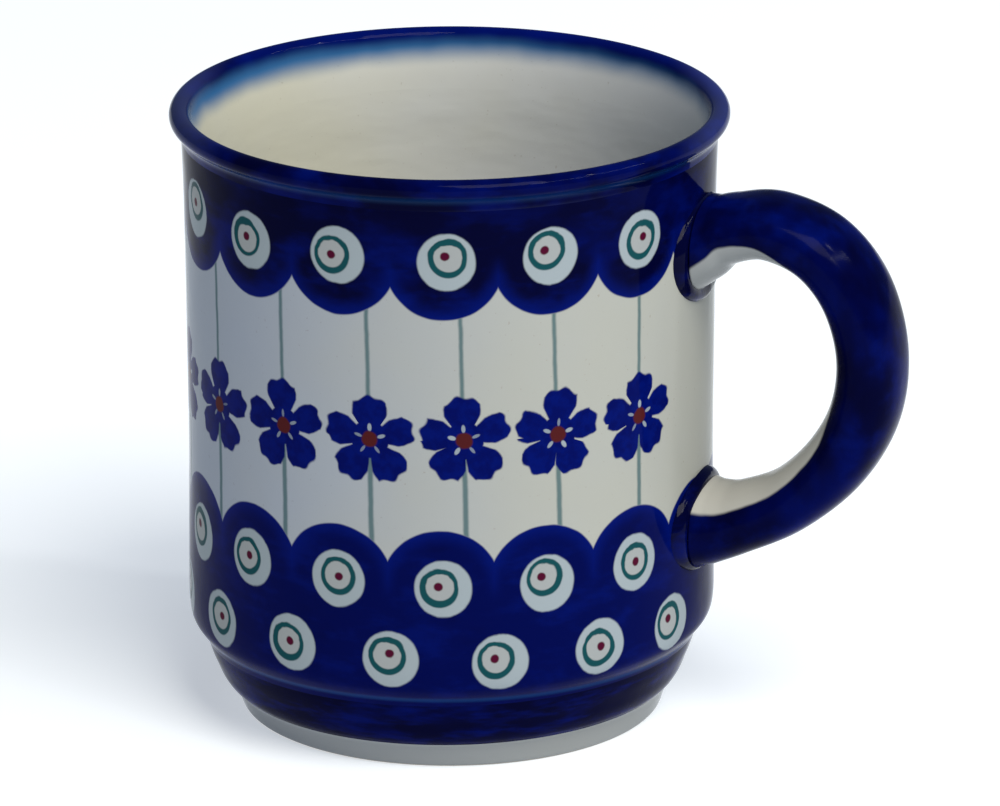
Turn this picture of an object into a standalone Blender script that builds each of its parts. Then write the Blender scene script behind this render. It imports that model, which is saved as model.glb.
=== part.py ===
"""Stoneware mug: a thrown cup with a pulled loop handle luted on with slip.

Metres, +Z up. The mug stands on z = 0 with its handle along +X. The origin is the
centre of the footprint of the whole mug, handle included, so the cup's own axis lies
a little to the -X side of it.

Four solids: the thrown cup, the handle, and the slip pad and bead at each of the
handle's two roots. They are fired into one body and none of them moves.
"""

import math

import bmesh
import bpy
from mathutils import Vector

MM = 0.001

# Cup, turned about its own axis (mm)
HEIGHT = 96.0
RIM_BEAD_RADIUS = 1.56
RIM_BEAD_CENTRE = 41.17
WALL_RADIUS = 40.45
WALL_THICKNESS = 3.4
SHOULDER_HEIGHT = 17.5
GROOVE_HEIGHT = 12.4
GROOVE_RADIUS = 38.0
BAND_FOOT_RADIUS = 34.2
FOOT_HEIGHT = 4.2
FOOT_OUTER_RADIUS = 32.5
FOOT_INNER_RADIUS = 28.0
FOOT_ROUNDING = 0.7
UNDERSIDE_RECESS = 1.8
FLOOR_TOP = 8.0
FLOOR_CORNER_RADIUS = 9.0
CUP_SEGMENTS = 72

# Handle centreline: distance from the cup's axis, height, half thickness, half width (mm)
HANDLE_STATIONS = (
    (42.2, 77.4, 7.0, 9.2),
    (45.6, 80.0, 5.2, 8.7),
    (51.6, 81.0, 4.8, 8.3),
    (59.1, 78.2, 4.9, 8.2),
    (64.6, 71.7, 5.0, 8.2),
    (67.2, 62.5, 5.05, 8.2),
    (66.3, 53.1, 5.2, 8.2),
    (61.9, 44.7, 5.15, 8.2),
    (54.8, 37.9, 4.9, 8.3),
    (47.3, 34.2, 5.2, 8.7),
    (42.2, 32.9, 6.7, 9.2),
)
HANDLE_STEPS_PER_SPAN = 4
HANDLE_SIDES = 24
ROOT_BLEND = 9.0

# Slip between the handle's roots and the wall (mm)
JOINT_GAP = 0.3
SLIP_THICKNESS = 1.0
BEAD_WIDTH = 1.7
BEAD_HEIGHT = 2.2
BEAD_CLEARANCE = 0.5
SLIP_SIDES = 36

COBALT_GLAZE = (0.004, 0.010, 0.075, 1.0)
CLEAR_GLAZE_ON_CLAY = (0.47, 0.46, 0.42, 1.0)


def material(name, colour, roughness):
    """One opaque Principled material."""
    mat = bpy.data.materials.new(name)
    mat.use_nodes = True
    shader = mat.node_tree.nodes["Principled BSDF"]
    shader.inputs["Base Color"].default_value = colour
    shader.inputs["Roughness"].default_value = roughness
    shader.inputs["Metallic"].default_value = 0.0
    mat.diffuse_color = colour
    return mat


def finish(bm, name, mat, parent):
    """Turn a bmesh in millimetres into a smooth-shaded named object in metres."""
    bmesh.ops.remove_doubles(bm, verts=bm.verts, dist=0.001)
    bmesh.ops.recalc_face_normals(bm, faces=bm.faces)
    bmesh.ops.scale(bm, verts=bm.verts, vec=Vector((MM, MM, MM)))
    mesh = bpy.data.meshes.new(name)
    bm.to_mesh(mesh)
    bm.free()
    mesh.shade_smooth()
    mesh.set_sharp_from_angle(angle=math.radians(50))
    mesh.materials.append(mat)
    obj = bpy.data.objects.new(name, mesh)
    bpy.context.scene.collection.objects.link(obj)
    obj.parent = parent
    return obj


def arc(centre_r, centre_z, radius, start, end, count):
    """Points on a circular arc of the turned profile, angles in degrees from +R."""
    points = []
    for i in range(count + 1):
        a = math.radians(start + (end - start) * i / count)
        points.append((centre_r + radius * math.cos(a), centre_z + radius * math.sin(a)))
    return points


def ease(a, b, t):
    """Smooth step between two values."""
    s = t * t * (3 - 2 * t)
    return a + (b - a) * s


def cup_profile():
    """Closed half section of the cup, from the underside's centre round to the floor's."""
    rim_z = HEIGHT - RIM_BEAD_RADIUS
    inner = WALL_RADIUS - WALL_THICKNESS
    points = [(0.0, UNDERSIDE_RECESS), (FOOT_INNER_RADIUS - 1.6, UNDERSIDE_RECESS)]
    points += [(FOOT_INNER_RADIUS, 0.0), (FOOT_OUTER_RADIUS - FOOT_ROUNDING, 0.0)]
    points += [(FOOT_OUTER_RADIUS, 0.45), (BAND_FOOT_RADIUS - 0.3, FOOT_HEIGHT - 0.6)]
    # convex band between the foot and the groove
    for i in range(6):
        t = i / 5
        bulge = 0.35 * math.sin(math.pi * t)
        radius = BAND_FOOT_RADIUS + (GROOVE_RADIUS - BAND_FOOT_RADIUS) * t + bulge
        points.append((radius, FOOT_HEIGHT + (GROOVE_HEIGHT - 0.7 - FOOT_HEIGHT) * t))
    # groove, then the shoulder swelling out to the wall
    for i in range(1, 6):
        t = i / 5
        radius = GROOVE_RADIUS + (WALL_RADIUS - GROOVE_RADIUS) * math.sin(math.pi / 2 * t)
        points.append((radius, GROOVE_HEIGHT + (SHOULDER_HEIGHT - GROOVE_HEIGHT) * t * t))
    # near-straight wall, very slightly waisted, opening towards the rim
    points += [(WALL_RADIUS + 0.05, 28.0), (WALL_RADIUS - 0.1, 43.0), (WALL_RADIUS, 58.0)]
    points += [(WALL_RADIUS + 0.1, 72.0), (WALL_RADIUS + 0.3, 82.0), (WALL_RADIUS + 0.4, 88.0)]
    points += [(WALL_RADIUS + 0.7, 91.4)]
    # rolled rim
    points += arc(RIM_BEAD_CENTRE, rim_z, RIM_BEAD_RADIUS, -50, 190, 12)
    # inside wall, rounded corner and floor
    for i in range(1, 4):
        t = i / 3
        points.append((ease(RIM_BEAD_CENTRE - RIM_BEAD_RADIUS, inner, t), rim_z - 6.5 * t))
    points += [(inner, 60.0), (inner - 0.1, 36.0)]
    corner_r = inner - 0.1 - FLOOR_CORNER_RADIUS
    points += arc(corner_r, FLOOR_TOP + FLOOR_CORNER_RADIUS, FLOOR_CORNER_RADIUS, 0, -90, 6)
    points += [(0.0, FLOOR_TOP - 0.4)]
    return points


def build_cup(mat, parent):
    """Spin the half section through a full turn."""
    bm = bmesh.new()
    verts = [bm.verts.new((r, 0.0, z)) for r, z in cup_profile()]
    edges = [bm.edges.new(pair) for pair in zip(verts, verts[1:])]
    bmesh.ops.spin(
        bm,
        geom=verts + edges,
        cent=(0, 0, 0),
        axis=(0, 0, 1),
        angle=math.tau,
        steps=CUP_SEGMENTS,
        use_merge=True,
    )
    return finish(bm, "cup_body", mat, parent)


def catmull_rom(rows, steps):
    """Smooth curve through the rows, each a tuple of numbers."""
    first = tuple(2 * a - b for a, b in zip(rows[0], rows[1]))
    last = tuple(2 * a - b for a, b in zip(rows[-1], rows[-2]))
    padded = [first, *rows, last]
    curve = []
    for k in range(1, len(padded) - 2):
        p0, p1, p2, p3 = padded[k - 1 : k + 3]
        for i in range(steps):
            t = i / steps
            row = []
            for a, b, c, d in zip(p0, p1, p2, p3):
                cubic = (3 * b - 3 * c + d - a) * t**3
                square = (2 * a - 5 * b + 4 * c - d) * t**2
                row.append(0.5 * (2 * b + (c - a) * t + square + cubic))
            curve.append(tuple(row))
    curve.append(rows[-1])
    return curve


def on_wall(y, z, height):
    """A point at the given height off the cup's outer wall."""
    radius = WALL_RADIUS + 0.4 + height
    return Vector((math.sqrt(radius * radius - y * y), y, z))


def root_ring(scale, station, height):
    """The handle's root outline, scaled about its centre and laid on the wall."""
    _, z, thick, width = station
    ring = []
    for i in range(HANDLE_SIDES):
        a = math.tau * i / HANDLE_SIDES
        ring.append(on_wall(scale * width * math.cos(a), z + scale * thick * math.sin(a), height))
    return ring


def handle_rings():
    """Every ring of the handle, from one root's centre along the loop to the other's."""
    off_wall = JOINT_GAP + SLIP_THICKNESS + JOINT_GAP
    curve = catmull_rom(HANDLE_STATIONS, HANDLE_STEPS_PER_SPAN)
    rings = [root_ring(s, HANDLE_STATIONS[0], off_wall) for s in (0.3, 0.65, 1.0)]
    for k in range(2, len(curve) - 2):
        x, z, thick, width = curve[k]
        along = Vector((curve[k + 1][0] - curve[k - 1][0], 0, curve[k + 1][1] - curve[k - 1][1]))
        along.normalize()
        # sections stand parallel to the wall at the roots and turn square to the loop
        free = min(1.0, (x - HANDLE_STATIONS[0][0]) / ROOT_BLEND)
        along = along * free + Vector((math.copysign(1 - free, along.x), 0, 0))
        along.normalize()
        outward = Vector((-along.z, 0, along.x))
        ring = []
        for i in range(HANDLE_SIDES):
            a = math.tau * i / HANDLE_SIDES
            offset = outward * thick * math.sin(a) + Vector((0, width * math.cos(a), 0))
            ring.append(Vector((x, 0, z)) + offset)
        rings.append(ring)
    end = [root_ring(s, HANDLE_STATIONS[-1], off_wall) for s in (1.0, 0.65, 0.3)]
    # the loop has turned over by its lower end, so its rings run the other way up
    rings += [[ring[-i % HANDLE_SIDES] for i in range(HANDLE_SIDES)] for ring in end]
    return rings


def skin(bm, rings):
    """Join successive rings with quads and close both ends with fans."""
    loops = [[bm.verts.new(p) for p in ring] for ring in rings]
    count = len(rings[0])
    for a, b in zip(loops, loops[1:]):
        for i in range(count):
            j = (i + 1) % count
            bm.faces.new((a[i], a[j], b[j], b[i]))
    for ring in (loops[0], loops[-1]):
        hub = sum((v.co for v in ring), Vector()) / count
        centre = bm.verts.new(hub)
        for i in range(count):
            bm.faces.new((ring[i], ring[(i + 1) % count], centre))


def build_handle(mat, parent):
    bm = bmesh.new()
    skin(bm, handle_rings())
    return finish(bm, "handle", mat, parent)


def build_slip(name, station, mat, parent):
    """Pad of slip under a root, with the bead that is squeezed out and smoothed round it."""
    _, z, thick, width = station
    inner = BEAD_CLEARANCE
    outer = BEAD_CLEARANCE + BEAD_WIDTH
    mid = (inner + outer) / 2
    # (distance outside the root's outline, height off the wall)
    section = [
        (-0.55 * thick, JOINT_GAP),
        (outer, JOINT_GAP),
        (outer + 0.15, JOINT_GAP + 0.6),
        (mid + 0.45, BEAD_HEIGHT),
        (mid - 0.2, BEAD_HEIGHT),
        (inner, JOINT_GAP + SLIP_THICKNESS),
        (-0.55 * thick, JOINT_GAP + SLIP_THICKNESS),
    ]
    rings = []
    for out, height in section:
        ring = []
        for i in range(SLIP_SIDES):
            a = math.tau * i / SLIP_SIDES
            y = (width + out) * math.cos(a)
            ring.append(on_wall(y, z + (thick + out) * math.sin(a), height))
        rings.append(ring)
    bm = bmesh.new()
    skin(bm, rings)
    return finish(bm, name, mat, parent)


def main():
    for obj in list(bpy.data.objects):
        bpy.data.objects.remove(obj)

    axis = bpy.data.objects.new("cup_axis", None)
    bpy.context.scene.collection.objects.link(axis)

    cup = build_cup(material("cup_glaze", CLEAR_GLAZE_ON_CLAY, 0.12), axis)
    handle = build_handle(material("handle_glaze", COBALT_GLAZE, 0.12), axis)
    slip_glaze = material("slip_glaze", COBALT_GLAZE, 0.15)
    build_slip("upper_joint_slip", HANDLE_STATIONS[0], slip_glaze, axis)
    slip_glaze = material("lower_slip_glaze", COBALT_GLAZE, 0.15)
    build_slip("lower_joint_slip", HANDLE_STATIONS[-1], slip_glaze, axis)

    # centre the whole footprint on the origin
    low = min(v.co.x for v in cup.data.vertices)
    high = max(v.co.x for v in handle.data.vertices)
    axis.location.x = -(low + high) / 2


main()
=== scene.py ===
"""Looks of the stoneware mug: glazed cup and handle with stamped cobalt decoration."""

import math

import bpy
from mathutils import Matrix, Vector


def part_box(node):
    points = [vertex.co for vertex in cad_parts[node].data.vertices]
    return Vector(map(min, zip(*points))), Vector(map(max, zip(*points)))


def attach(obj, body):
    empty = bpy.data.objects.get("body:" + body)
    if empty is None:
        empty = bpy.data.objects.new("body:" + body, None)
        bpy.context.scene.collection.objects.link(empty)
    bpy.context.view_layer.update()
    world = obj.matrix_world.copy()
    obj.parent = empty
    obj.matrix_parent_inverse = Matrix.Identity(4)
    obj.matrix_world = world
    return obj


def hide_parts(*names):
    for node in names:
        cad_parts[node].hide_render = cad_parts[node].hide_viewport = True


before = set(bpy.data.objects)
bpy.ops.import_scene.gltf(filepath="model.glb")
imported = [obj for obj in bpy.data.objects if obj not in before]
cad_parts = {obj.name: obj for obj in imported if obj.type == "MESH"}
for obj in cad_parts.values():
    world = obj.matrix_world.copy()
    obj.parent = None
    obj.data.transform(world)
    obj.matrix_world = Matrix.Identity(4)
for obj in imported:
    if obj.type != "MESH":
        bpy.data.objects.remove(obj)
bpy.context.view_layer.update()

MM = 0.001  # shapes and patterns below are in millimetres, the scene is in metres
CUP_LOW, CUP_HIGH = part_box("cup_body")
AXIS_X = (CUP_LOW[0] + CUP_HIGH[0]) / 2
AXIS = Vector((AXIS_X, 0.0, 0.0))

# The camera looks from this azimuth and elevation (degrees).
VIEW_AZIMUTH = 18.0
VIEW_ELEVATION = 18.35
VIEW_ROLL = -0.17
# Direction of the camera seen from the cup; pattern angles are counted from it.
FRONT = -90.0 + VIEW_AZIMUTH

LENS_MM = 337.9
CAMERA_DISTANCE = 1.4443
CAMERA_AIM_HEIGHT = 0.0472
CAMERA_SHIFT_RIGHT = 0.00757
CAMERA_SHIFT_UP = 0.00038
LIGHT_AIM_HEIGHT = 0.05
FLOOR_HALF_SIZE = 4.0


# ---------------------------------------------------------------- camera, floor, light


def make_camera():
    """Long lens, a little above the rim, with the handle to the right."""
    azimuth, elevation = math.radians(VIEW_AZIMUTH), math.radians(VIEW_ELEVATION)
    roll = math.radians(VIEW_ROLL)
    ahead = Vector(
        (
            -math.sin(azimuth) * math.cos(elevation),
            math.cos(azimuth) * math.cos(elevation),
            -math.sin(elevation),
        )
    )
    right = Vector((math.cos(azimuth), math.sin(azimuth), 0))
    up = right.cross(ahead)
    right, up = (
        math.cos(roll) * right + math.sin(roll) * up,
        -math.sin(roll) * right + math.cos(roll) * up,
    )
    data = bpy.data.cameras.new("camera")
    data.sensor_width = 36.0
    data.lens = LENS_MM
    camera = bpy.data.objects.new("camera", data)
    bpy.context.scene.collection.objects.link(camera)
    aim = AXIS + Vector((0, 0, CAMERA_AIM_HEIGHT))
    place = (
        aim - ahead * CAMERA_DISTANCE + right * CAMERA_SHIFT_RIGHT + up * CAMERA_SHIFT_UP
    )
    turn = Matrix((right, up, -ahead)).transposed().to_4x4()
    camera.matrix_world = Matrix.Translation(place) @ turn
    bpy.context.scene.camera = camera


def area_light(name, where, size, watts, colour):
    """Panel aimed at the cup; where is degrees right of the front, elevation, distance."""
    bearing, elevation = math.radians(FRONT + where[0]), math.radians(where[1])
    toward = Vector(
        (
            math.cos(bearing) * math.cos(elevation),
            math.sin(bearing) * math.cos(elevation),
            math.sin(elevation),
        )
    )
    data = bpy.data.lights.new(name, "AREA")
    data.shape = "RECTANGLE"
    data.size, data.size_y = size
    data.energy = watts
    data.color = colour
    light = bpy.data.objects.new(name, data)
    light.location = AXIS + Vector((0, 0, LIGHT_AIM_HEIGHT)) + toward * where[2]
    light.rotation_euler = (-toward).to_track_quat("-Z", "Y").to_euler()
    bpy.context.scene.collection.objects.link(light)


def make_light():
    """Soft key from the right, and two small panels whose reflections glint in the glaze."""
    world = bpy.data.worlds.new("studio")
    world.use_nodes = True
    background = world.node_tree.nodes["Background"]
    background.inputs["Color"].default_value = (0.60, 0.78, 1.0, 1)
    background.inputs["Strength"].default_value = 0.2
    bpy.context.scene.world = world
    area_light("key", (27.0, 52.0, 2.4), (1.3, 1.3), 60.0, (1.0, 0.955, 0.86))
    area_light("strip", (68.0, 42.0, 1.2), (1.0, 0.05), 4.0, (0.92, 0.96, 1.0))
    area_light("spark", (76.0, 50.0, 1.2), (0.07, 0.07), 1.6, (1.0, 0.98, 0.95))
    bpy.context.scene.view_settings.view_transform = "Standard"


def make_floor():
    """Pale floor, part lit and part glowing, so that it shows almost white."""
    mesh = bpy.data.meshes.new("floor")
    r = FLOOR_HALF_SIZE
    mesh.from_pydata([(-r, -r, 0), (r, -r, 0), (r, r, 0), (-r, r, 0)], [], [(0, 1, 2, 3)])
    floor = bpy.data.objects.new("floor", mesh)
    bpy.context.scene.collection.objects.link(floor)
    mat = bpy.data.materials.new("pale_floor")
    mat.use_nodes = True
    shader = mat.node_tree.nodes["Principled BSDF"]
    shader.inputs["Base Color"].default_value = (0.62, 0.65, 0.68, 1)
    shader.inputs["Roughness"].default_value = 0.9
    shader.inputs["Specular IOR Level"].default_value = 0.0
    shader.inputs["Emission Color"].default_value = (0.90, 0.94, 1.0, 1)
    shader.inputs["Emission Strength"].default_value = 0.50
    mesh.materials.append(mat)


# ---------------------------------------------------------------- material building


class Val:
    """A socket or a number, with arithmetic that adds Math nodes."""

    def __init__(self, tree, socket):
        self.tree = tree
        self.socket = socket

    def _math(self, op, *others):
        node = self.tree.nodes.new("ShaderNodeMath")
        node.operation = op
        for slot, item in zip(node.inputs, (self, *others)):
            if isinstance(item, Val):
                self.tree.links.new(item.socket, slot)
            else:
                slot.default_value = item
        return Val(self.tree, node.outputs[0])

    def __add__(self, other):
        return self._math("ADD", other)

    def __sub__(self, other):
        return self._math("SUBTRACT", other)

    def __rsub__(self, other):
        return (self * -1.0) + other

    def __mul__(self, other):
        return self._math("MULTIPLY", other)

    def __truediv__(self, other):
        return self._math("DIVIDE", other)

    def abs(self):
        return self._math("ABSOLUTE")

    def sqrt(self):
        return self._math("SQRT")

    def sin(self):
        return self._math("SINE")

    def cos(self):
        return self._math("COSINE")

    def fract(self):
        return self._math("FRACT")

    def round(self):
        return self._math("ROUND")

    def min(self, other):
        return self._math("MINIMUM", other)

    def max(self, other):
        return self._math("MAXIMUM", other)

    def greater(self, limit):
        return self._math("GREATER_THAN", limit)

    def less(self, limit):
        return self._math("LESS_THAN", limit)

    def arctan2(self, other):
        return self._math("ARCTAN2", other)

    def above(self, edge, soft):
        """0 below edge, 1 above it, over a soft step of that width."""
        node = self.tree.nodes.new("ShaderNodeMapRange")
        node.interpolation_type = "SMOOTHSTEP"
        self.tree.links.new(self.socket, node.inputs["Value"])
        for name, value in (("From Min", edge - soft / 2), ("From Max", edge + soft / 2)):
            node.inputs[name].default_value = value
        return Val(self.tree, node.outputs["Result"])

    def below(self, edge, soft):
        """1 below edge, 0 above it."""
        return 1.0 - self.above(edge, soft)


def length(a, b):
    """Length of the vector (a, b)."""
    return (a * a + b * b).sqrt()


class Painter:
    """Builds one glaze material: coordinates in millimetres round the cup's axis."""

    def __init__(self, name):
        self.material = bpy.data.materials.new(name)
        self.material.use_nodes = True
        self.tree = self.material.node_tree
        self.shader = self.tree.nodes["Principled BSDF"]
        coords = self.tree.nodes.new("ShaderNodeTexCoord")
        scale = self.tree.nodes.new("ShaderNodeVectorMath")
        scale.operation = "SCALE"
        scale.inputs["Scale"].default_value = 1 / MM
        self.tree.links.new(coords.outputs["Object"], scale.inputs[0])
        self.point = scale.outputs[0]
        split = self.tree.nodes.new("ShaderNodeSeparateXYZ")
        self.tree.links.new(self.point, split.inputs[0])
        self.x = Val(self.tree, split.outputs["X"])
        self.y = Val(self.tree, split.outputs["Y"])
        self.z = Val(self.tree, split.outputs["Z"])
        self.radius = length(self.x, self.y)

    def angle(self):
        """Degrees round the cup, counted to the right from the front, from -288 to 72."""
        turned = self.y.arctan2(self.x) * (180 / math.pi)
        return turned - turned.greater(0.0) * 360.0 - FRONT

    def noise(self, scale, detail=2.0, rough=0.5, stretch=(1, 1, 1), seed=0.0):
        """Noise with features about 1/scale mm across."""
        mapping = self.tree.nodes.new("ShaderNodeMapping")
        mapping.inputs["Scale"].default_value = stretch
        mapping.inputs["Location"].default_value = (seed, seed * 0.7, -seed)
        self.tree.links.new(self.point, mapping.inputs["Vector"])
        node = self.tree.nodes.new("ShaderNodeTexNoise")
        node.inputs["Scale"].default_value = scale
        node.inputs["Detail"].default_value = detail
        node.inputs["Roughness"].default_value = rough
        self.tree.links.new(mapping.outputs[0], node.inputs["Vector"])
        return Val(self.tree, node.outputs[0])

    def mix(self, factor, a, b):
        """Colour a where factor is 0, b where it is 1; colours are tuples or sockets."""
        node = self.tree.nodes.new("ShaderNodeMix")
        node.data_type = "RGBA"
        if isinstance(factor, Val):
            self.tree.links.new(factor.socket, node.inputs["Factor"])
        else:
            node.inputs["Factor"].default_value = factor
        for slot, item in ((node.inputs[6], a), (node.inputs[7], b)):
            if isinstance(item, tuple):
                slot.default_value = (*item, 1.0)
            else:
                self.tree.links.new(item, slot)
        return node.outputs[2]

    def bump(self, height, distance):
        """Uneven glaze surface, distance metres from its lowest to its highest."""
        node = self.tree.nodes.new("ShaderNodeBump")
        node.inputs["Strength"].default_value = 1.0
        node.inputs["Distance"].default_value = distance
        self.tree.links.new(height.socket, node.inputs["Height"])
        self.tree.links.new(node.outputs[0], self.shader.inputs["Normal"])

    def glaze(self, colour, roughness=0.055, specular=0.02):
        """Colour under a clear glossy glaze."""
        self.tree.links.new(colour, self.shader.inputs["Base Color"])
        self.shader.inputs["Roughness"].default_value = roughness
        self.shader.inputs["Specular IOR Level"].default_value = specular
        return self.material


def srgb(r, g, b):
    """Linear colour of an 8-bit sRGB colour."""
    out = []
    for c in (r, g, b):
        c /= 255
        out.append(c / 12.92 if c <= 0.04045 else ((c + 0.055) / 1.055) ** 2.4)
    return tuple(out)


CREAM = srgb(151, 158, 170)
CREAM_WARM = srgb(160, 161, 154)
INSIDE_CREAM = srgb(187, 191, 198)
INSIDE_WARM = srgb(182, 180, 162)
COBALT = srgb(1, 7, 67)
COBALT_DEEP = srgb(2, 3, 37)
COBALT_THIN = srgb(2, 18, 100)
COBALT_WASH = srgb(46, 92, 138)
EYE_WHITE = srgb(144, 154, 160)
EYE_CREAM = srgb(147, 151, 152)
GREEN = srgb(18, 66, 72)
DOT_RED = srgb(70, 12, 38)
FLOWER_RED = srgb(72, 26, 28)
# painted shade for the foot, low down by the floor
FOOT_PAINTED_SHADE = srgb(134, 137, 139)
HANDLE_CREAM = srgb(168, 167, 161)
# cream in painted shade, for the handle's upper inner face and the bead's bare underside
CREAM_PAINTED_SHADE = srgb(144, 147, 148)
STEM = srgb(62, 92, 96)
PETAL = srgb(2, 10, 80)
# painted highlight along the groove's edge
RIDGE_PAINTED_HIGHLIGHT = srgb(18, 58, 112)
RIM_LINE_BLUE = srgb(16, 58, 104)
# painted sheen for the rim's sides as they turn away
RIM_PAINTED_SHEEN = srgb(66, 76, 134)
IRON_SPECK = srgb(112, 90, 66)
CLAY_PALE = srgb(196, 182, 156)
CLAY_DARK = srgb(172, 156, 128)


# ---------------------------------------------------------------- glazes


def cobalt(paint, seed, level, brushed=1.6):
    """Brushed cobalt: thinner streaks, and darker pools where its clouds are below level."""
    cloud = paint.noise(0.075, 3.0, 0.6, (1, 1, brushed), seed)
    streak = paint.noise(0.22, 4.0, 0.6, (0.6, 0.6, brushed), seed + 31.0)
    colour = paint.mix((cloud - level).above(0.0, 0.28), COBALT_DEEP, COBALT)
    thin = (streak * 0.6 + cloud * 0.4).above(0.56, 0.18)
    return paint.mix(thin * 0.4, colour, COBALT_THIN)


def cream(paint, seed, cool=CREAM, warm=CREAM_WARM, lit_side=1.0, middle=0.0):
    """Glazed clay with fine iron specks and random warmer clouds, painted warmer on the
    lamp-lit side and cooler on the shaded side.

    Its side sign is 1 where the +X side is painted as the lit, warm side and -1 where the -X
    side is.
    """
    cloud = paint.noise(0.05, 2.0, 0.5, (1, 1, 1), seed)
    # painted light: warmer towards the lamp-lit side, cooler towards the shaded side
    across = (paint.x * lit_side).above(middle, 80.0)
    colour = paint.mix((cloud * 0.5 + across * 0.8 - 0.15).above(0.5, 1.0), cool, warm)
    speck = paint.noise(1.9, 1.0, 0.5, (1, 1, 1), seed + 5.0).above(0.76, 0.03)
    return paint.mix(speck * 0.22, colour, IRON_SPECK)


def inside_cream(paint):
    """The inside's cream, which the rim and the wall share where they meet."""
    # painted light: the inside's -X side, which faces the lamp, is painted warmer, the other
    # side cooler
    return cream(paint, 22.0, INSIDE_CREAM, INSIDE_WARM, -1.0, 14.0)


def cell_noise(index, salt):
    """A steady pseudo-random number from 0 to 1 for each numbered stamp."""
    return ((index * 12.9898 + salt).sin() * 43758.5453).fract().abs()


def spread(index, salt, middle, amount):
    """A steady offset for each numbered stamp, amount wide, nil at the given share of it."""
    return (cell_noise(index, salt) - middle) * amount


# The painted pattern. Angles in degrees from the front, heights and radii in millimetres.
WALL_R = 40.45
EYE_PITCH = 22.9
BASE_EXTRA_PITCH = 0.4
UPPER_EYE_Z, UPPER_START = 83.0, -1.0
LOWER_EYE_Z, LOWER_START = 31.6, -2.0
BASE_EYE_Z, BASE_START = 20.0, 10.2
UPPER_ROW_ABOVE = 57.0
BASE_ROW_BELOW = 25.6
UPPER_BORDER_ABOVE = 80.4
LOWER_BORDER_BELOW = 33.6
SCALLOP_R = 9.1
FRINGE_R = 7.9
DISC_R = 4.34
RING_OUTER_R = 2.93
RING_INNER_R = 2.14
DOT_R = 0.68
FLOWER_PITCH = 20.9
FLOWER_START = 3.4
FLOWER_Z = 54.5
PETALS = 5
THROAT_R = 3.0
HEART_R = 1.26
DASH_MIDDLE_R = 1.90
DASH_HALF_LENGTH = 0.62
STEM_HALF_WIDTH = 0.32
RIDGE_Z = 12.9
# Stamps whose centres lie between these angles are clear of the handle.
FIRST_STAMP = -259.0
LAST_FLOWER = 53.0
LAST_EYE = 63.0


def eye_layers(index, salt, start, pitch, across, along, wobble, tremor):
    """Pale disc, green ring, ring's hole and dark dot, each stamped a little off centre."""
    angle = index * pitch + start
    there = angle.greater(FIRST_STAMP) * angle.less(LAST_EYE)
    ex = across - spread(salt, 1.3, 0.5, 0.9) + wobble * 0.5
    ez = along - spread(salt, 4.1, 0.5, 0.9) + tremor * 0.4
    disc = (ex * ex + ez * ez * 0.94).sqrt().below(DISC_R, 0.40) * there
    rx = ex + spread(salt, 7.7, 0.35, 1.5)
    rz = ez - spread(salt, 2.9, 0.10, 1.3)
    ring_r = (rx * rx + rz * rz * 0.92).sqrt() + wobble * 0.6 + tremor * 0.3
    qx = rx + spread(salt, 3.7, 0.5, 0.36)
    qz = rz + spread(salt, 6.4, 0.5, 0.36)
    hole_r = length(qx, qz) + tremor * 0.5
    ring = ring_r.below(RING_OUTER_R, 0.28) * hole_r.above(RING_INNER_R, 0.28)
    dx = rx + spread(salt, 5.5, 0.5, 1.0)
    dz = rz + spread(salt, 9.2, 0.6, 0.9)
    dot = length(dx, dz).below(DOT_R, 0.3)
    return disc, ring * disc, hole_r, dot * disc


def flower_layers(paint, angle, wobble, tremor):
    """Stem, petals, pale dashes at their throats, and red heart."""
    index = ((angle - FLOWER_START) / FLOWER_PITCH).round()
    centre_angle = index * FLOWER_PITCH + FLOWER_START
    there = centre_angle.above(FIRST_STAMP, 0.5) * centre_angle.below(LAST_FLOWER, 0.5)
    arc = math.radians(1.0) * WALL_R
    fx = (angle - FLOWER_START - index * FLOWER_PITCH) * arc - spread(index, 3.3, 0.5, 0.9)
    fz = paint.z - FLOWER_Z - spread(index, 8.1, 0.5, 1.0)

    # the stem leans a little, and is thicker below the flower
    slant = cell_noise(index, 2.2) * 0.03 + 0.005
    stem_x = (fx + 0.1 + fz * slant + wobble * 0.3 + tremor * 0.15).abs()
    stem = (stem_x - fz.below(0.0, 4.0) * 0.08).below(STEM_HALF_WIDTH, 0.5) * 0.85

    # each petal in its own polar coordinates
    far = length(fx, fz)
    bearing = fz.arctan2(fx) - math.pi / 2 + spread(index, 6.2, 0.5, 0.16)
    share = math.tau / PETALS
    petal = (bearing / share).round()
    off = bearing - petal * share
    out = far * off.cos()
    side = far * off.sin()
    across = side.abs()

    # widening from the throat, its blunt end cut into uneven lobes
    lot = cell_noise(petal + index * 3.0, 1.9)
    reach = out + tremor * 0.5 + (lot - 0.5) * 0.8
    slimmer = (petal.abs() - 1.0).abs().below(0.5, 0.2) * 0.19
    flank = (reach * 0.60 + 0.32).min(2.86 - (reach - 5.0) * (reach - 5.0) * 0.10)
    flank = flank * (0.97 - slimmer)
    tip = (side * 2.4 + lot * 6.0).cos() * 0.24 - side * side * 0.16 + 7.12
    outside = (across + tremor * 0.5 - flank).max((reach - tip) * 0.8)
    petals = outside.below(0.0, 0.36).max(far.below(THROAT_R, 0.3)) * there

    dash = length((out - DASH_MIDDLE_R) / DASH_HALF_LENGTH, across / (lot * 0.16 + 0.18))
    dash = dash.below(1.0, 0.5) * there * (lot * 0.7 + 0.35)
    heart = (far + tremor * 0.5).below(HEART_R, 0.35) * there
    return stem * there, petals, dash, heart


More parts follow.
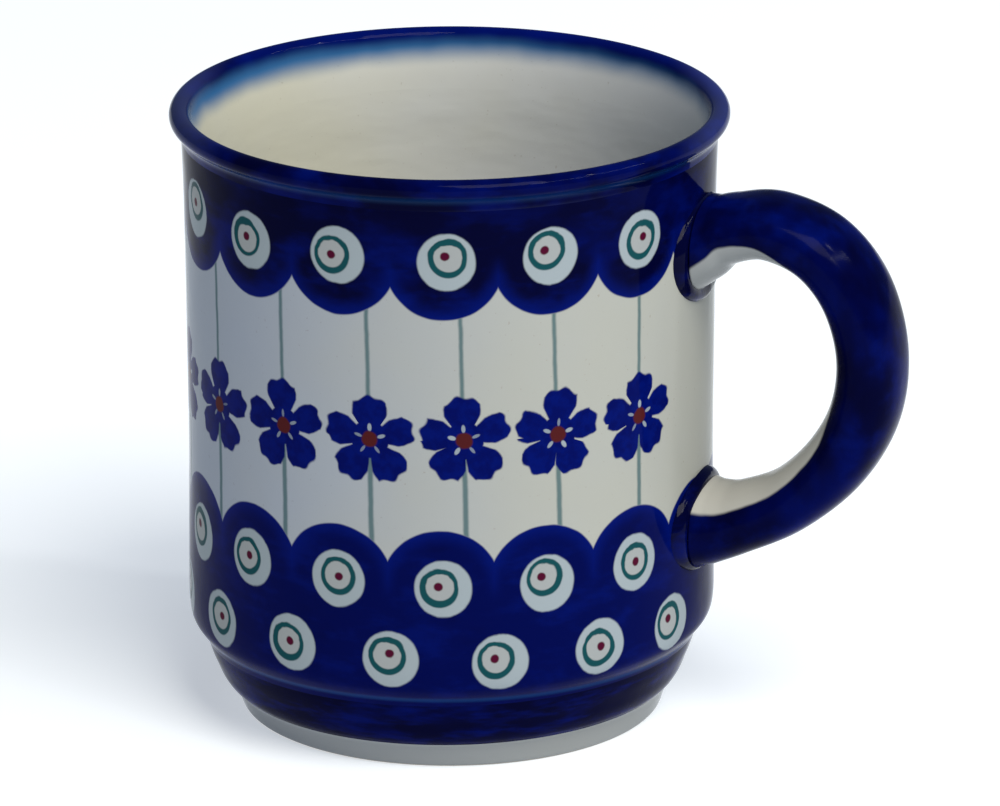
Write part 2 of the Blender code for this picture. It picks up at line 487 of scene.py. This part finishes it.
def wall_material():
    """Outside of the cup: eyes in scalloped cobalt borders above and below a flower band."""
    paint = Painter("decorated_glaze")
    angle = paint.angle()
    z = paint.z
    wobble = paint.noise(0.16, 2.0, 0.5, seed=3.0) - 0.5
    tremor = paint.noise(0.55, 2.0, 0.5, seed=9.0) - 0.5

    # which of the three rows of eyes a point belongs to, and its place from that eye's centre
    upper = z.greater(UPPER_ROW_ABOVE)
    base = z.less(BASE_ROW_BELOW)
    lower = 1.0 - upper - base
    start = upper * UPPER_START + lower * LOWER_START + base * BASE_START
    pitch = base * BASE_EXTRA_PITCH + EYE_PITCH
    row_z = upper * UPPER_EYE_Z + lower * LOWER_EYE_Z + base * BASE_EYE_Z
    index = ((angle - start) / pitch).round()
    across = (angle - start - index * pitch) * (math.radians(1.0) * WALL_R)
    along = z - row_z

    # cobalt borders with scalloped edges, thinner towards each scallop's edge
    from_centre = length(across, along + wobble * 0.5)
    scallop = from_centre.below(SCALLOP_R, 0.35)
    in_rows = (1.0 - base) * z.below(82.5, 4.0) * z.above(31.0, 4.0)
    fringe = from_centre.above(FRINGE_R, 3.4) * in_rows
    border = z.above(UPPER_BORDER_ABOVE, 0.3).max(z.below(LOWER_BORDER_BELOW, 0.3))
    blue = border.max(scallop * (1.0 - base)).max(base)

    stem, petals, dash, heart = flower_layers(paint, angle, wobble, tremor)
    colour = paint.mix(stem * (1.0 - blue), cream(paint, 2.0), STEM)
    patchy = paint.noise(0.5, 2.0, 0.6, seed=19.0).above(0.5, 0.3)
    colour = paint.mix(petals, colour, paint.mix(patchy * 0.6, PETAL, COBALT_THIN))
    colour = paint.mix(dash * 0.9, colour, EYE_WHITE)
    colour = paint.mix(heart, colour, FLOWER_RED)

    # darker under the rim, and a painted highlight along the ridge above the band
    ground = cobalt(paint, 1.0, z.above(50.0, 40.0) * 0.25 + 0.27)
    ground = paint.mix(fringe * 0.75, ground, COBALT_THIN)
    ground = paint.mix(z.above(86.0, 6.0) * 0.45, ground, COBALT_DEEP)
    # painted highlight: a lighter blue line where the groove's edge catches the light
    ridge = (z - RIDGE_Z - paint.x * 0.006).abs().below(0.35, 0.6)
    ground = paint.mix(ridge * 0.5, ground, RIDGE_PAINTED_HIGHLIGHT)
    colour = paint.mix(blue, colour, ground)

    salt = index + upper * 17.0 + base * 53.0
    disc, ring, hole_r, dot = eye_layers(
        index, salt, start, pitch, across, along, wobble, tremor
    )
    pale = paint.mix(hole_r.below(2.4, 0.8), EYE_WHITE, EYE_CREAM)
    colour = paint.mix(disc, colour, pale)
    colour = paint.mix(ring, colour, GREEN)
    colour = paint.mix(dot, colour, DOT_RED)
    paint.bump(paint.noise(0.10, 2.0, 0.5, seed=12.0), 0.00012)
    return paint.glaze(colour, specular=0.014)


def band_material():
    """Plain brushed cobalt between the groove and the foot."""
    paint = Painter("band_glaze")
    colour = cobalt(paint, 7.0, 0.58, 3.2)
    paint.bump(paint.noise(0.12, 2.0, 0.5, seed=4.0), 0.00012)
    return paint.glaze(colour, specular=0.014)


# Inside this radius the rim's surface faces inwards; the heights are where its colours change.
RIM_INWARD_R = 40.3
WASH_BELOW = 94.2
CREAM_BELOW = 92.6
LIP_LINE_Z = 92.8


def rim_material():
    """Cobalt rolled rim, fading through a blue wash to cream down the inside."""
    paint = Painter("rim_glaze")
    colour = cobalt(paint, 17.0, 0.50)
    colour = paint.mix(paint.y.above(12.0, 36.0) * 0.6, colour, COBALT_THIN)
    # painted sheen on the rim's two sides, left and right of the front, where it turns away
    sheen_sides = (paint.x * 0.95 + paint.y * 0.31).abs().above(37.0, 7.0)
    colour = paint.mix(sheen_sides * 0.3, colour, RIM_PAINTED_SHEEN)
    inside = paint.radius.below(RIM_INWARD_R, 1.2)
    edge = paint.z + (paint.noise(0.09, 2.0, 0.5, seed=8.0) - 0.5) * 1.6
    wash = inside * edge.below(WASH_BELOW, 2.4)
    colour = paint.mix(wash, colour, COBALT_WASH)
    gone = inside * (edge - paint.x * 0.02 + 0.25).below(CREAM_BELOW, 3.6)
    colour = paint.mix(gone, colour, inside_cream(paint))
    line = (paint.z - LIP_LINE_Z).abs().below(0.55, 1.1) * (1.0 - inside)
    colour = paint.mix(line * 0.34, colour, RIM_LINE_BLUE)
    paint.bump(paint.noise(0.12, 2.0, 0.5, seed=14.0), 0.0001)
    return paint.glaze(colour, specular=0.02)


def inside_material():
    """Cream inside wall and floor, with faint throwing rings."""
    paint = Painter("inside_glaze")
    colour = inside_cream(paint)
    paint.bump(paint.noise(0.08, 2.0, 0.5, stretch=(1, 1, 2.5), seed=24.0), 0.0002)
    return paint.glaze(colour)


def foot_material():
    """White glazed foot, darkened all over as painted shade, with bare clay on the ring it
    stands on.
    """
    paint = Painter("foot_glaze")
    # painted shade: the foot's cream is mostly the darker tone, for the shade low down by the
    # floor
    colour = paint.mix(0.75, cream(paint, 40.0), FOOT_PAINTED_SHADE)
    bare = paint.z.below(0.14, 0.12) * paint.radius.above(26.6, 0.6)
    grain = paint.noise(2.2, 3.0, 0.6, seed=44.0)
    clay = paint.mix(grain.above(0.5, 0.5), CLAY_PALE, CLAY_DARK)
    colour = paint.mix(bare, colour, clay)
    material = paint.glaze(colour)
    rough = bare * 0.7 + 0.1
    paint.tree.links.new(rough.socket, paint.shader.inputs["Roughness"])
    paint.bump(grain * bare * 0.5 + paint.noise(0.1, 2.0, 0.5, seed=46.0), 0.0002)
    return material


def handle_material():
    """Cobalt over the back and sides, cream along the inner face, painted darker towards the
    top as shade.
    """
    paint = Painter("handle_glaze")
    colour = cobalt(paint, 51.0, 0.50, 0.7)
    side = paint.tree.nodes.new("ShaderNodeAttribute")
    side.attribute_name = "inner_face"
    inner = Val(paint.tree, side.outputs["Fac"])
    edge = inner + (paint.noise(0.16, 2.0, 0.5, seed=53.0) - 0.5) * 0.06
    # painted shade: the bare cream darkens towards the top, under the handle's upper bend
    bare = paint.mix(paint.z.above(66.0, 20.0), HANDLE_CREAM, CREAM_PAINTED_SHADE)
    colour = paint.mix(edge.above(0.5, 0.05), colour, bare)
    paint.bump(paint.noise(0.14, 2.0, 0.5, seed=55.0), 0.00015)
    return paint.glaze(colour, 0.15, 0.014)


def joint_material():
    """Glossy cobalt beads; the cobalt misses part of the upper one's underside, which shows
    cream darkened as painted shade.
    """
    paint = Painter("joint_glaze")
    colour = cobalt(paint, 61.0, 0.62)
    underside = paint.z.below(72.0, 1.0) * paint.z.above(60.0, 1.0)
    under = underside * (paint.y - 4.2).abs().below(2.8, 1.0)
    # painted shade: the bare underside takes the darker, shaded cream
    colour = paint.mix(under, colour, CREAM_PAINTED_SHADE)
    paint.bump(paint.noise(0.35, 2.0, 0.5, seed=63.0), 0.0001)
    return paint.glaze(colour, 0.06, 0.045)


# ---------------------------------------------------------------- shapes


def smooth_curve(rows, steps):
    """Catmull-Rom curve through rows of numbers."""
    first = tuple(2 * a - b for a, b in zip(rows[0], rows[1]))
    last = tuple(2 * a - b for a, b in zip(rows[-1], rows[-2]))
    padded = [first, *rows, last]
    curve = []
    for k in range(1, len(padded) - 2):
        spans = list(zip(*padded[k - 1 : k + 3]))
        for i in range(steps):
            t = i / steps
            curve.append(
                tuple(
                    0.5
                    * (
                        2 * b
                        + (c - a) * t
                        + (2 * a - 5 * b + 4 * c - d) * t * t
                        + (3 * b - 3 * c + d - a) * t**3
                    )
                    for a, b, c, d in spans
                )
            )
    curve.append(tuple(rows[-1]))
    return curve


def new_piece(name, verts, faces, material, nodes):
    """A smooth-shaded piece with its origin on the cup's axis; verts in millimetres."""
    mesh = bpy.data.meshes.new(name)
    mesh.from_pydata([Vector(v) * MM for v in verts], [], faces)
    mesh.update()
    mesh.shade_smooth()
    mesh.materials.append(material)
    piece = bpy.data.objects.new(name, mesh)
    piece.location = AXIS
    bpy.context.scene.collection.objects.link(piece)
    bpy.context.view_layer.update()
    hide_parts(*nodes)
    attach(piece, "root")
    return piece


TURN = 192  # points in each turned ring

# Unevenness of the thrown form: two slow waves round the wall, and a shoulder that sits
# a little lower on one side.
WAVES = ((0.05, 2, 0.6), (0.03, 3, -1.1))
SHOULDER_LIFT = 0.6
SHOULDER_TOP = 22.0
INNER_LIMIT_R = 30.0


def thrown(r, z, a):
    """A point of the turned form, with the slight unevenness of a hand-finished pot."""
    (size_2, count_2, phase_2), (size_3, count_3, phase_3) = WAVES
    wave = size_2 * math.sin(count_2 * a + phase_2)
    wave += size_3 * math.sin(count_3 * a + phase_3 + 0.02 * z)
    r += wave * min(1.0, r / INNER_LIMIT_R)
    if r > INNER_LIMIT_R:
        height = math.sin(math.pi * min(z, SHOULDER_TOP) / SHOULDER_TOP)
        z += SHOULDER_LIFT * math.cos(a - math.radians(VIEW_AZIMUTH)) * height
    return r * math.cos(a), r * math.sin(a), max(0.0, z)


def turned(name, profile, material):
    """Surface turned from an open profile of (radius, height), outside to the right."""
    verts, faces, rings = [], [], []
    for r, z in profile:
        if r < 1e-6:
            rings.append([len(verts)])
            verts.append((0, 0, z))
            continue
        rings.append(list(range(len(verts), len(verts) + TURN)))
        verts += [thrown(r, z, math.tau * i / TURN) for i in range(TURN)]
    for a, b in zip(rings, rings[1:]):
        for i in range(TURN):
            j = (i + 1) % TURN
            if len(a) == 1:
                faces.append((a[0], b[j], b[i]))
            elif len(b) == 1:
                faces.append((a[i], a[j], b[0]))
            else:
                faces.append((a[i], a[j], b[j], b[i]))
    return new_piece(name, verts, faces, material, ["cup_body"])


# Profiles as (radius, height).
OUTER = [
    (40.9, 91.0),
    (40.82, 88.7),
    (40.7, 85.0),
    (40.6, 80.0),
    (40.5, 70.0),
    (40.42, 58.0),
    (40.3, 43.0),
    (40.45, 30.0),
    (40.55, 21.0),
    (40.5, 17.5),
    (40.2, 15.4),
    (39.45, 14.1),
    (38.5, 12.95),
    (37.9, 11.8),
]
BAND = [
    (37.9, 11.8),
    (37.6, 10.8),
    (37.2, 9.6),
    (36.55, 8.0),
    (35.9, 6.4),
    (35.05, 5.0),
    (34.2, 4.2),
]
FOOT = [
    (34.2, 4.2),
    (33.7, 3.7),
    (33.2, 2.4),
    (32.8, 1.3),
    (32.5, 0.5),
    (32.1, 0.1),
    (31.5, 0.0),
    (28.6, 0.0),
    (27.6, 0.25),
    (26.6, 1.3),
    (25.6, 1.75),
    (20.0, 1.85),
    (0.0, 1.9),
]
INNER = [
    (39.35, 93.4),
    (38.75, 91.7),
    (38.1, 89.5),
    (37.6, 87.0),
    (37.3, 84.5),
    (37.15, 81.0),
    (37.05, 70.0),
    (37.0, 50.0),
    (36.9, 25.0),
]
# Where along the smoothed inner profile the rim's piece ends and the inside's begins.
RIM_END = 12
RIM_BEAD_R = 1.56
RIM_BEAD_MIDDLE = (41.17, 94.44)
CORNER_R = 9.0
CORNER_MIDDLE = (27.9, 17.0)


def arc_points(middle, radius, first, last, steps):
    """Points of an arc in the profile's plane, from first to last in degrees."""
    points = []
    for i in range(steps + 1):
        a = math.radians(first + (last - first) * i / steps)
        points.append((middle[0] + radius * math.cos(a), middle[1] + radius * math.sin(a)))
    return points


def rim_profile():
    """Underside of the rolled rim, over the bead and down to the inside wall."""
    under = [(40.9, 91.0), (40.98, 91.7), (41.2, 92.35)]
    bead = arc_points(RIM_BEAD_MIDDLE, RIM_BEAD_R, -58, 176, 14)
    return under + bead + smooth_curve(INNER, 4)[: RIM_END + 1]


def inside_profile():
    """Down the inside wall, round the corner and across the floor."""
    corner = arc_points(CORNER_MIDDLE, CORNER_R, 0, -90, 9)[1:]
    return smooth_curve(INNER, 4)[RIM_END:] + corner + [(18.0, 7.85), (0.0, 7.7)]


# Each row: distance from the axis, height, half thickness, half width, and how far round
# the inner face the cobalt reaches (0 at the flank, 1 at the middle of the inner face).
HANDLE_STATIONS = [
    (41.0, 77.5, 7.0, 9.4, 0.20),
    (43.0, 78.5, 6.0, 9.1, 0.16),
    (45.6, 80.1, 5.0, 8.7, 0.12),
    (51.6, 81.0, 4.8, 8.3, 0.30),
    (59.1, 78.2, 4.9, 8.2, 0.80),
    (64.6, 71.7, 5.0, 8.2, 0.95),
    (67.2, 62.5, 5.05, 8.2, 0.95),
    (66.3, 53.1, 5.2, 8.2, 0.80),
    (61.9, 44.7, 5.15, 8.2, 0.58),
    (54.8, 37.9, 4.9, 8.3, 0.54),
    (47.3, 34.2, 5.2, 8.7, 0.52),
    (43.2, 32.9, 6.0, 9.1, 0.54),
    (41.0, 32.7, 6.7, 9.4, 0.54),
]
ROOT_X = 41.0
ROOT_BLEND = 9.0  # over this distance from its root the sweep turns to face the wall
SIDES = 64
SQUARENESS = 2.25  # of the section's outline, where 2 is an ellipse


def section_point(a):
    """Unit handle section: a soft, slightly flattened oval."""
    c, s = math.cos(a), math.sin(a)
    power = 2 / SQUARENESS
    return math.copysign(abs(c) ** power, c), math.copysign(abs(s) ** power, s)


def make_handle(material):
    """Loop swept along its centreline, running into the wall at both roots."""
    curve = smooth_curve(HANDLE_STATIONS, 10)
    verts, faces, inner = [], [], []
    for k, (x, z, thick, width, reach) in enumerate(curve):
        before, after = curve[max(k - 1, 0)], curve[min(k + 1, len(curve) - 1)]
        along = Vector((after[0] - before[0], 0, after[1] - before[1])).normalized()
        free = min(1.0, max(0.0, (x - ROOT_X) / ROOT_BLEND))
        along = (along * free + Vector((math.copysign(1 - free, along.x), 0, 0))).normalized()
        outward = Vector((-along.z, 0, along.x))
        for i in range(SIDES):
            a = math.tau * i / SIDES
            c, s = section_point(a)
            centre = Vector((x, width * c, z))
            verts.append(centre + outward * thick * s)
            inner.append(0.5 + 0.5 * (-math.sin(a) - reach))
    rings = len(curve)
    for k in range(rings - 1):
        for i in range(SIDES):
            j = (i + 1) % SIDES
            a, b = k * SIDES, (k + 1) * SIDES
            faces.append((a + i, a + j, b + j, b + i))
    faces.append(tuple(range(SIDES))[::-1])
    faces.append(tuple(range((rings - 1) * SIDES, rings * SIDES)))
    piece = new_piece("handle_loop", verts, faces, material, ["handle"])
    layer = piece.data.attributes.new("inner_face", "FLOAT", "POINT")
    for item, value in zip(layer.data, inner):
        item.value = value
    return piece


BEAD_WALL_R = 40.6
BEAD_STEPS = 96
# Bead of slip in section: distance outside the root's outline, height off the wall.
BEAD_SECTION = [
    (-1.2, 0.85),
    (-0.5, 1.2),
    (0.0, 1.3),
    (0.5, 1.2),
    (1.0, 0.9),
    (1.4, 0.45),
    (1.65, -0.1),
    (1.75, -0.6),
]


def make_bead(name, node, root, fullness, material):
    """Smoothed bead of slip round a handle root, thinned at its top and its bottom.

    root is the root's height and its half height and half width; fullness is the share of
    the bead's section that is left at the top and at the bottom.
    """
    z0, thick, width = root
    top, bottom = fullness
    verts, faces = [], []
    for i in range(BEAD_STEPS):
        a = math.tau * i / BEAD_STEPS
        c, s = math.cos(a), math.sin(a)
        full = 1.0 + ((top if s > 0 else bottom) - 1.0) * s * s
        for out, height in BEAD_SECTION:
            out *= full if out > 0 else 1.0
            y = (width + out) * c
            z = z0 + (thick + out) * s
            r = BEAD_WALL_R + (height * full if height > 0 else height)
            verts.append((math.sqrt(r * r - y * y), y, z))
    n = len(BEAD_SECTION)
    for i in range(BEAD_STEPS):
        j = (i + 1) % BEAD_STEPS
        for k in range(n - 1):
            faces.append((i * n + k, i * n + k + 1, j * n + k + 1, j * n + k))
    return new_piece(name, verts, faces, material, [node])


def main():
    make_camera()
    make_light()
    make_floor()
    turned("cup_wall", smooth_curve(OUTER, 4), wall_material())
    turned("cup_band", smooth_curve(BAND, 3), band_material())
    turned("cup_foot", smooth_curve(FOOT, 3), foot_material())
    turned("cup_rim", list(reversed(rim_profile())), rim_material())
    turned("cup_inside", list(reversed(inside_profile())), inside_material())
    make_handle(handle_material())
    glaze = joint_material()
    make_bead("upper_joint", "upper_joint_slip", (76.9, 7.4, 9.4), (0.3, 0.6), glaze)
    make_bead("lower_joint", "lower_joint_slip", (32.8, 6.8, 9.4), (0.8, 0.3), glaze)


main()
